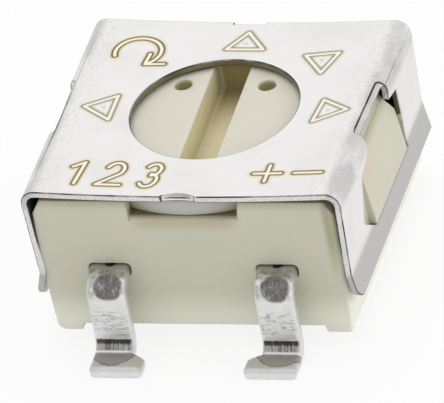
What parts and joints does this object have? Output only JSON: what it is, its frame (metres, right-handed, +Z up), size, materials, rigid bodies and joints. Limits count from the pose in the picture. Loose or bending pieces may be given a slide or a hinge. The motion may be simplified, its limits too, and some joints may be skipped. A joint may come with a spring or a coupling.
{
  "type": "trimmer potentiometer",
  "caption": "Single-turn surface-mount trimmer potentiometer: moulded housing under a folded metal cover, slotted rotor, gull-wing terminals.",
  "frame": {"origin": "on the seating plane under the feet, below the rotor's axis", "axes": "+X to the right along the two-terminal side, +Y towards the wiper terminal at the back, +Z up along the rotor's axis"},
  "size_m": [0.0048, 0.0062, 0.0026],
  "materials": {
    "housing_plastic": "moulded ivory plastic, fine grain",
    "cover_steel": "bright rolled stainless sheet, laser-marked",
    "rotor_plastic": "moulded cream plastic",
    "seal_silicone": "translucent grey-white silicone",
    "wiper_metal": "bright precious-metal alloy spring",
    "alumina": "unglazed white alumina",
    "cermet_film": "black fired resistor film",
    "conductor_film": "fired silver conductor film",
    "tinned_strip": "tin-plated copper strip, worn and striated",
    "solder": "smooth solder"
  },
  "bodies": {
    "base": {"housing": "housing_plastic", "cover": "cover_steel", "seal": "seal_silicone", "ceramic_element": "alumina", "resistive_track": "cermet_film", "end_pad_1": "conductor_film", "end_pad_3": "conductor_film", "collector": "conductor_film", "terminal_1": "tinned_strip", "terminal_2": "tinned_strip", "terminal_3": "tinned_strip", "solder_joint_1": "solder", "solder_joint_2": "solder", "solder_joint_3": "solder"},
    "rotor": {"rotor": "rotor_plastic", "wiper": "wiper_metal"}
  },
  "joints": [
    {"name": "rotor_turn", "type": "hinge", "parent": "base", "child": "rotor", "pos_m": [0, 0, 0.0019], "axis": [0, 0, 1], "range_deg": [-105, 105]}
  ]
}
